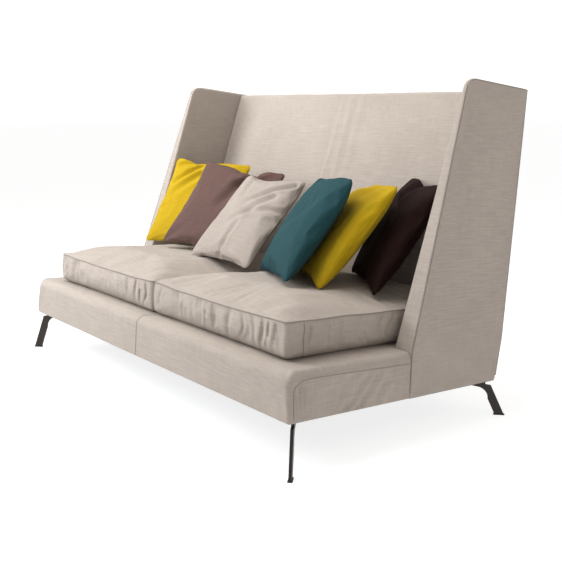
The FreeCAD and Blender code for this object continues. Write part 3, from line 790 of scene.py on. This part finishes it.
def seat_cushion(name, middle, seed):
    """A loose seat cushion: two panels and a boxing between their seams."""
    bm = bmesh.new()
    nx, ny, nz = SEAT_CELLS
    half_x, half_y = SEAT_HALF_X - SEAT_INSET, SEAT_HALF_Y - SEAT_INSET

    def plan(a, b):
        x, y = (2 * a - 1) * half_x, (2 * b - 1) * half_y
        x, y = rounded_corner(x, y, half_x, half_y, SEAT_CORNER)
        pull_x = SEAT_DRAW_IN * (1 - (y / half_y) ** 2) * x / half_x
        pull_y = SEAT_DRAW_IN * (1 - (x / half_x) ** 2) * y / half_y
        return x - pull_x, y - pull_y

    def level(a, b, w):
        x, y = plan(a, b)
        seam = SEAT_EDGE + seam_rise(x, y, seed)
        z = mix(SEAT_FOOT, seam, w)
        tuck = SEAT_TUCK * (1 - smooth_step(w / 0.10))
        puff = SEAT_PUFF * math.sin(w * math.pi) - tuck
        return Vector((x * (1 + puff / half_x), y * (1 + puff / half_y), z))

    def top(a, b):
        x, y = plan(a, b)
        inset_x = 2 * half_x * min(a, 1 - a)
        inset_y = 2 * half_y * min(b, (1 - b) / SEAT_REAR_SHARE)
        edge = min(a, 1 - a, b, 1 - b)
        seam = seam_rise(x, y, seed) * max(1 - edge * 8, 0.0)
        rise = SEAT_UNBLOWN_CROWN * crown(min(inset_x, inset_y))
        return Vector((x, y, SEAT_EDGE + seam + rise))

    add_patch(bm, nx, ny, top, (2 * half_x, 2 * half_y))
    add_patch(bm, nx, ny, lambda a, b: level(a, b, 0.0), (2 * half_x, 2 * half_y))
    for side in (0, 1):
        add_patch(bm, nx, nz, lambda a, w: level(a, side, w), (2 * half_x, SEAT_EDGE))
        add_patch(bm, ny, nz, lambda b, w: level(side, b, w), (2 * half_y, SEAT_EDGE))
    piece = finish_mesh(bm, name + "_cloth", "body_fabric", name)
    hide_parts(name)
    among = built_places(piece)
    ring = [among[rounded(top(a, b))] for a, b in edge_walk(nx, ny)]
    joint_b = round(ny * SEAT_JOINT_SETBACK / (2 * half_y)) / ny
    joint = [among[rounded(level(1, joint_b, n / nz))] for n in range(nz + 1)]
    low = min(v.co.z for v in piece.data.vertices)
    pins = ring + [v.index for v in piece.data.vertices if v.co.z < low + 0.0005]
    boxing = [v.index for v in piece.data.vertices if v.co.z < SEAT_EDGE - 0.004]
    return {
        "piece": piece, "pins": pins, "boxing": boxing, "ring": ring, "joint": joint,
        "place": Vector((middle, SEAT_MIDDLE_Y, SEAT_LEVEL)), "seed": seed,
    }


def edge_walk(nx, ny):
    """Round the edge of a grid, as shares of its two sides."""
    walk = [(n / nx, 0.0) for n in range(nx)]
    walk += [(1.0, n / ny) for n in range(ny)]
    walk += [(1 - n / nx, 1.0) for n in range(nx)]
    walk += [(0.0, 1 - n / ny) for n in range(ny)]
    return walk


def top_creases(x, y, seed):
    """Soft folds that fan back from a seat cushion's front seam and in from its sides."""
    front = y + SEAT_HALF_Y
    fan = noise_at((x - 0.45 * y) * 13, (y + 0.2 * x) * 3.5, 2.0, seed)
    fold = fan * smooth_step(front / 0.06) * math.exp(-front / 0.30)
    aside = SEAT_HALF_X - abs(x)
    cross = noise_at(x * 3.5, (y - 0.3 * x) * 9, 5.0, seed)
    fold += 0.6 * cross * smooth_step(aside / 0.06) * math.exp(-aside / 0.20)
    line = noise_at((x - 0.5 * y) * 8, (y + 0.3 * x) * 2.5, 8.0, seed)
    crease = bell(line, 0.09) * smooth_step(front / 0.08) * math.exp(-front / 0.35)
    uneven = noise_at(x * 6, y * 6, 1.0, seed)
    return SEAT_FOLDS * fold - SEAT_CREASES * crease + SEAT_UNEVENNESS * uneven


def pucker(x, y, z, seed):
    """How far the boxing is drawn in at a place by the gathers that hang from its top seam."""
    sway = 0.8 * noise_at(x * 9, y * 9, z * 12, seed)
    line = noise_at((x + y) * 26 + sway, z * 3, 3.0, seed)
    groups = smooth_step(0.8 + 1.3 * noise_at(x * 5, y * 5, 6.0, seed))
    groups *= smooth_step(max(SEAT_HALF_X - abs(x), SEAT_HALF_Y - abs(y)) / 0.06)
    share = min(max(z / SEAT_EDGE, 0.0), 1.0)
    hang = smooth_step(share / 0.6) * (1 - share ** 10)
    return SEAT_PUCKERS * max(1 - abs(line) * 4.5, 0.0) * groups * hang


def settle_seat(seat):
    """Crease a blown-up seat cushion, keep it in its own room and put it on the base. Its top
    stays just below that room where the scatter cushions stand."""
    piece = seat["piece"]
    for vertex in piece.data.vertices:
        x, y, z = vertex.co
        if z > SEAT_EDGE:
            inset = min(SEAT_HALF_X - abs(x), SEAT_HALF_Y - abs(y))
            z += top_creases(x, y, seat["seed"]) * smooth_step(inset / 0.04)
        else:
            drawn = 1 - pucker(x, y, z, seat["seed"]) / SEAT_HALF_Y
            x, y = x * drawn, y * drawn
        x = min(max(x, -SEAT_HALF_X - SEAT_SLACK), SEAT_HALF_X + SEAT_SLACK)
        y = min(max(y, -SEAT_HALF_Y - SEAT_PROUD), SEAT_HALF_Y - SEAT_SLACK)
        under_pillows = smooth_step((y + 0.16) / 0.12)
        room = seat_top(x, y) + mix(SEAT_PROUD, -2 * SEAT_SLACK, under_pillows)
        vertex.co = (x, y, min(max(z, 2 * SEAT_SLACK), room))
    piece.data.transform(BODY @ Matrix.Translation(seat["place"]))
    seam = [piece.data.vertices[i].co.copy() for i in seat["ring"]]
    joint = [piece.data.vertices[i].co.copy() for i in seat["joint"]]
    refine(piece)
    depsgraph = bpy.context.evaluated_depsgraph_get()
    joint = [piece.closest_point_on_mesh(at, depsgraph=depsgraph)[1] for at in joint]
    name = piece.name.replace("_cloth", "")
    # The welt and joint are drawn in the darker seam cloth: painted shade along the cushion's
    # seams
    tube(name + "_welt", seam, SEAT_WELT_RADIUS, "welt_fabric", name, closed=True)
    tube(name + "_joint", joint, SEAM_RADIUS, "welt_fabric", name)


# Scatter cushions. Turn, lean and tip are those of their solids, in degrees. Folds run on the
# front face from a deep start to a fading end, in shares of the half size, each with its width
# and depth. A notch dents the top edge at a place, and tucks draw corners in.
PILLOWS = {
    "scatter_cushion_yellow_left": {
        "slot": "yellow_fabric", "turn": 20, "lean": 31, "tip": -1, "thick": 0.0785,
        "folds": [
            ((-0.40, 0.98), (-0.98, 0.70), 0.014, 0.016),
            ((-0.20, 0.85), (-0.85, 0.25), 0.013, 0.014),
            ((-0.10, 0.60), (-0.75, 0.00), 0.016, 0.009),
        ],
        "notch": (-0.35, 0.012),
        "tucks": {(1, 1): 0.010},
    },
    "scatter_cushion_mauve": {
        "slot": "mauve_fabric", "turn": 21, "lean": 38, "tip": -6, "thick": 0.074,
        "folds": [
            ((0.42, 1.00), (-0.10, -0.20), 0.024, 0.020),
            ((0.15, 0.55), (0.90, 0.80), 0.022, 0.010),
            ((-0.90, -0.95), (-0.55, -0.60), 0.020, 0.006),
        ],
        "notch": (0.15, 0.022),
        "tucks": {},
    },
    "scatter_cushion_cream": {
        "slot": "cream_fabric", "turn": -3, "lean": 41, "tip": 1, "thick": 0.096,
        "folds": [
            ((0.85, 0.80), (-0.25, 0.20), 0.013, 0.015),
            ((0.95, 0.20), (-0.10, 0.00), 0.012, 0.013),
            ((0.05, -0.90), (0.10, 0.10), 0.014, 0.009),
            ((0.60, 0.45), (-0.35, -0.35), 0.015, 0.010),
            ((-0.55, 0.95), (-0.30, 0.30), 0.018, 0.009),
        ],
        "notch": (-0.30, 0.014),
        "tucks": {(1, 1): 0.008},
    },
    "scatter_cushion_brown": {
        "slot": "brown_fabric", "turn": -31, "lean": 31, "tip": -1, "thick": 0.1135,
        "folds": [
            ((0.10, 1.00), (-0.10, 0.25), 0.028, 0.026),
            ((-0.05, 0.50), (-0.85, 0.40), 0.022, 0.010),
            ((0.05, 0.45), (0.45, -0.20), 0.020, 0.008),
        ],
        "notch": (0.10, 0.030),
        "tucks": {(-1, 1): 0.012, (1, 1): 0.010, (1, -1): -0.007},
    },
    "scatter_cushion_yellow_right": {
        "slot": "yellow_fabric", "turn": -29, "lean": 36, "tip": 0, "thick": 0.1175,
        "folds": [
            ((-0.95, -0.95), (-0.45, -0.60), 0.016, 0.010),
            ((0.55, 0.98), (0.30, 0.50), 0.022, 0.007),
        ],
        "notch": (-0.50, 0.024),
        "tucks": {(-1, 1): 0.038},
    },
    "scatter_cushion_teal": {
        "slot": "teal_fabric", "turn": -27, "lean": 34, "tip": 4, "thick": 0.1135,
        "folds": [
            ((-0.45, 1.00), (-0.80, 0.35), 0.018, 0.014),
            ((0.40, 0.30), (-0.40, -0.20), 0.032, 0.007),
            ((-0.60, -0.95), (-0.45, -0.50), 0.016, 0.008),
        ],
        "notch": (-0.40, 0.022),
        "tucks": {(1, 1): 0.020, (-1, 1): 0.012},
    },
}


def pillow(name, pose, seed):
    """A scatter cushion before it is filled: two panels sewn along their edges."""
    bm = bmesh.new()

    def panel(side):
        def point(a, b):
            s, t = 2 * a - 1, 2 * b - 1
            bulge = math.sqrt(max((1 - s * s) * (1 - t * t), 0.0))
            uneven = 1 + 0.3 * noise_at(s * 1.6, t * 1.6, side, seed)
            wander = PILLOW_WANDER * noise_at(s * 2.2, t * 2.2, 0.0, seed + 0.5)
            rise = side * pose["thick"] * PILLOW_UNBLOWN_SHARE * bulge * uneven
            return Vector((s * PILLOW_HALF, t * PILLOW_HALF, rise + wander))
        return point

    size = (2 * PILLOW_HALF, 2 * PILLOW_HALF)
    add_patch(bm, PILLOW_CELLS, PILLOW_CELLS, panel(1), size)
    add_patch(bm, PILLOW_CELLS, PILLOW_CELLS, panel(-1), size)
    piece = finish_mesh(bm, name + "_cloth", pose["slot"], name)
    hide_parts(name)
    among = built_places(piece)
    edge = panel(1)
    ring = [among[rounded(edge(a, b))] for a, b in edge_walk(PILLOW_CELLS, PILLOW_CELLS)]
    return {"piece": piece, "ring": ring, "pose": pose, "name": name}


def pillow_room(x, y, thickness):
    """Half the thickness of a scatter cushion's room at a place on it."""
    inset = max(PILLOW_HALF - max(abs(x), abs(y)), 0.0) / (2 * PILLOW_HALF * PILLOW_FACE_INSET)
    share = min(inset ** (1 / PILLOW_CROWN_POWER), 1.0)
    return thickness / 2 * math.sin(share * math.pi / 2)


def fold_depth(s, t, fold):
    """How far a fold pushes a place on the face in, with a soft ridge on both sides of it."""
    start, end, width, depth = fold
    start, end, spot = Vector(start), Vector(end), Vector((s, t))
    along = end - start
    share = min(max((spot - start).dot(along) / along.length_squared, 0.0), 1.0)
    away = (spot - start - along * share).length * PILLOW_HALF / width
    valley = math.exp(-away * away) - 0.4 * math.exp(-(away - 1.9) ** 2)
    return depth * valley * (1 - share ** 2)


def settle_pillow(cushion):
    """Fold and size a filled scatter cushion to its own room and prop it on the seat."""
    piece, pose, name = cushion["piece"], cushion["pose"], cushion["name"]
    vertices = piece.data.vertices
    reach_x = max(abs(v.co.x) for v in vertices)
    reach_y = max(abs(v.co.y) for v in vertices)
    corner = PILLOW_HALF + PILLOW_EARS
    swell = max(abs(v.co.z) for v in vertices)
    notch_at, notch_depth = pose["notch"]
    for vertex in vertices:
        s, t = vertex.co.x / reach_x, vertex.co.y / reach_y
        z = vertex.co.z * min(pose["thick"] / 2 / swell, PILLOW_MOST_SWELL)
        x = s * (corner - PILLOW_DRAW_IN * (1 - t * t))
        y = t * (corner - PILLOW_DRAW_IN * (1 - s * s))
        x, y = rounded_corner(x, y, corner, corner, PILLOW_CORNER)
        for (across, up), depth in pose["tucks"].items():
            pull = depth * math.exp(-((s - across) ** 2 + (t - up) ** 2) / TUCK_REACH ** 2)
            x, y = x - across * pull, y - up * pull
        y -= notch_depth * bell(s - notch_at, NOTCH_REACH) * smooth_step(t) ** 2
        pushed = sum(fold_depth(s, t, fold) for fold in pose["folds"])
        z -= pushed * (1.0 if z > 0 else PILLOW_REAR_FOLDS)
        room = pillow_room(x, y, pose["thick"])
        z = min(max(z, -room - PILLOW_PROUD_REAR), room + PILLOW_PROUD_FRONT)
        vertex.co = (x, y, z)
    low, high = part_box(name)
    middle = (Vector(low) + Vector(high)) / 2
    turn = Matrix.Rotation(math.radians(pose["turn"]), 4, "Z")
    lean = Matrix.Rotation(math.radians(90 - pose["lean"]), 4, "X")
    tip = Matrix.Rotation(math.radians(pose["tip"]), 4, "Z")
    stand = Matrix.Rotation(-TILT, 4, "X")
    piece.data.transform(Matrix.Translation(middle) @ stand @ turn @ lean @ tip)
    seam = [vertices[i].co.copy() for i in cushion["ring"]]
    refine(piece)
    tube(name + "_seam", seam, PILLOW_SEAM_RADIUS, pose["slot"], name, closed=True, sides=6)


def cushions():
    """Blow up the seat and scatter cushions together and set them in place."""
    seats = [
        seat_cushion("seat_cushion_left", -SEAT_MIDDLE_X, 19.0),
        seat_cushion("seat_cushion_right", SEAT_MIDDLE_X, 21.0),
    ]
    pillows = [pillow(name, pose, 30.0 + n) for n, (name, pose) in enumerate(PILLOWS.items())]
    for seat in seats:
        add_cloth(seat["piece"], seat["pins"],
                  pressure=3.0, growth=0.004, stiffness=40.0, bending=0.15)
        grow_more(seat["piece"], seat["boxing"], growth=0.10)
    for cushion in pillows:
        add_cloth(cushion["piece"], [],
                  pressure=3.0, growth=0.025, stiffness=50.0, bending=0.06)
    frames = [SEAT_FRAMES] * len(seats) + [PILLOW_FRAMES] * len(pillows)
    blow_up([cushion["piece"] for cushion in seats + pillows], frames)
    for seat in seats:
        settle_seat(seat)
    for cushion in pillows:
        settle_pillow(cushion)


# Legs


LEG_EASING = 0.0008
GLIDE_EASING = 0.0006


def eased_copy(node_name, width, slot):
    """A CAD piece with its sharp edges eased."""
    source = frame["nodes"][node_name]
    bm = bmesh.new()
    bm.from_mesh(source.data)
    bm.transform(source.matrix_world)
    bmesh.ops.remove_doubles(bm, verts=bm.verts, dist=1e-6)
    bmesh.ops.dissolve_limit(bm, angle_limit=math.radians(1.5), verts=bm.verts, edges=bm.edges)
    piece = finish_mesh(bm, node_name + "_eased", slot, "frame")
    modifier = piece.modifiers.new("Ease", "BEVEL")
    modifier.width = width
    modifier.segments = 2
    modifier.limit_method = "ANGLE"
    modifier.angle_limit = math.radians(30)
    keep_modified(piece)
    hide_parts(node_name)


# Camera, floor and light


def look(obj, place, target):
    """Put an object at a place, facing a target, and level."""
    obj.location = place
    obj.rotation_euler = (Vector(target) - Vector(place)).to_track_quat("-Z", "Y").to_euler()


def camera():
    data = bpy.data.cameras.new("camera")
    data.lens = CAMERA_LENS
    data.sensor_width = 36.0
    obj = bpy.data.objects.new("camera", data)
    bpy.context.scene.collection.objects.link(obj)
    place = Vector(CAMERA_PLACE)
    level = math.cos(CAMERA_PITCH)
    ahead = Vector((
        -math.sin(CAMERA_YAW) * level,
        math.cos(CAMERA_YAW) * level,
        -math.sin(CAMERA_PITCH),
    ))
    look(obj, place, place + ahead)
    bpy.context.scene.camera = obj


def softbox(name, watts, size, colour, place, target):
    """A square soft light."""
    light = bpy.data.lights.new(name, "AREA")
    light.energy = watts
    light.size = size
    light.color = colour
    lamp = bpy.data.objects.new(name, light)
    lamp.visible_camera = False
    bpy.context.scene.collection.objects.link(lamp)
    look(lamp, place, target)


def studio():
    """A pale floor and surround, soft lights from the front left and from above, and a weak one
    at the right."""
    mesh = bpy.data.meshes.new("floor")
    signs = ((-1, -1), (1, -1), (1, 1), (-1, 1))
    mesh.from_pydata([(x * FLOOR_REACH, y * FLOOR_REACH, 0) for x, y in signs], [], [(0, 1, 2, 3)])
    floor = bpy.data.objects.new("floor", mesh)
    bpy.context.scene.collection.objects.link(floor)
    n = Nodes("floor_paint")
    tone = n.noise(object_place(n), 3.0, 3.0)
    n.join(n.ramp(tone, [(0.3, (0.34, 0.34, 0.34)), (0.7, (0.37, 0.37, 0.37))]), "Base Color")
    n.set("Roughness", 0.9)
    n.set("Specular IOR Level", 0.1)
    n.set("Emission Color", (1.0, 1.0, 1.0, 1.0))
    n.set("Emission Strength", 0.80)
    mesh.materials.append(n.material)
    world = bpy.data.worlds.new("surround")
    world.use_nodes = True
    tree = world.node_tree
    direction = add_node(tree, "TexCoord").outputs["Generated"]
    height = add_node(tree, "SeparateXYZ", {0: direction}).outputs["Z"]
    fade = add_node(tree, "MapRange", {
        "Value": height, "From Min": 0.14, "From Max": 0.34, "To Min": 1.20, "To Max": 0.42,
    })
    background = tree.nodes["Background"].inputs
    background["Color"].default_value = (1.0, 0.99, 0.97, 1.0)
    tree.links.new(fade.outputs[0], background["Strength"])
    bpy.context.scene.world = world
    softbox("key", 104.0, 1.3, (0.93, 0.97, 1.0), (-2.0, -2.15, 1.95), (0.1, 0.0, 0.55))
    softbox("overhead", 126.0, 2.6, (1.0, 0.99, 0.97), (-0.4, -0.7, 3.8), (0.1, 0.0, 0.4))
    softbox("side", 11.0, 1.6, (1.0, 0.93, 0.85), (2.8, 1.1, 2.3), (0.0, 0.0, 0.6))
    bpy.context.scene.view_settings.view_transform = "Standard"


camera()
studio()
base()
for side in (-1, 1):
    wing(side)
back()
cushions()
for leg in ("front_left", "front_right", "rear_left", "rear_right"):
    eased_copy("leg_" + leg, LEG_EASING, "leg_metal")
eased_copy("leg_glides", GLIDE_EASING, "glide_plastic")
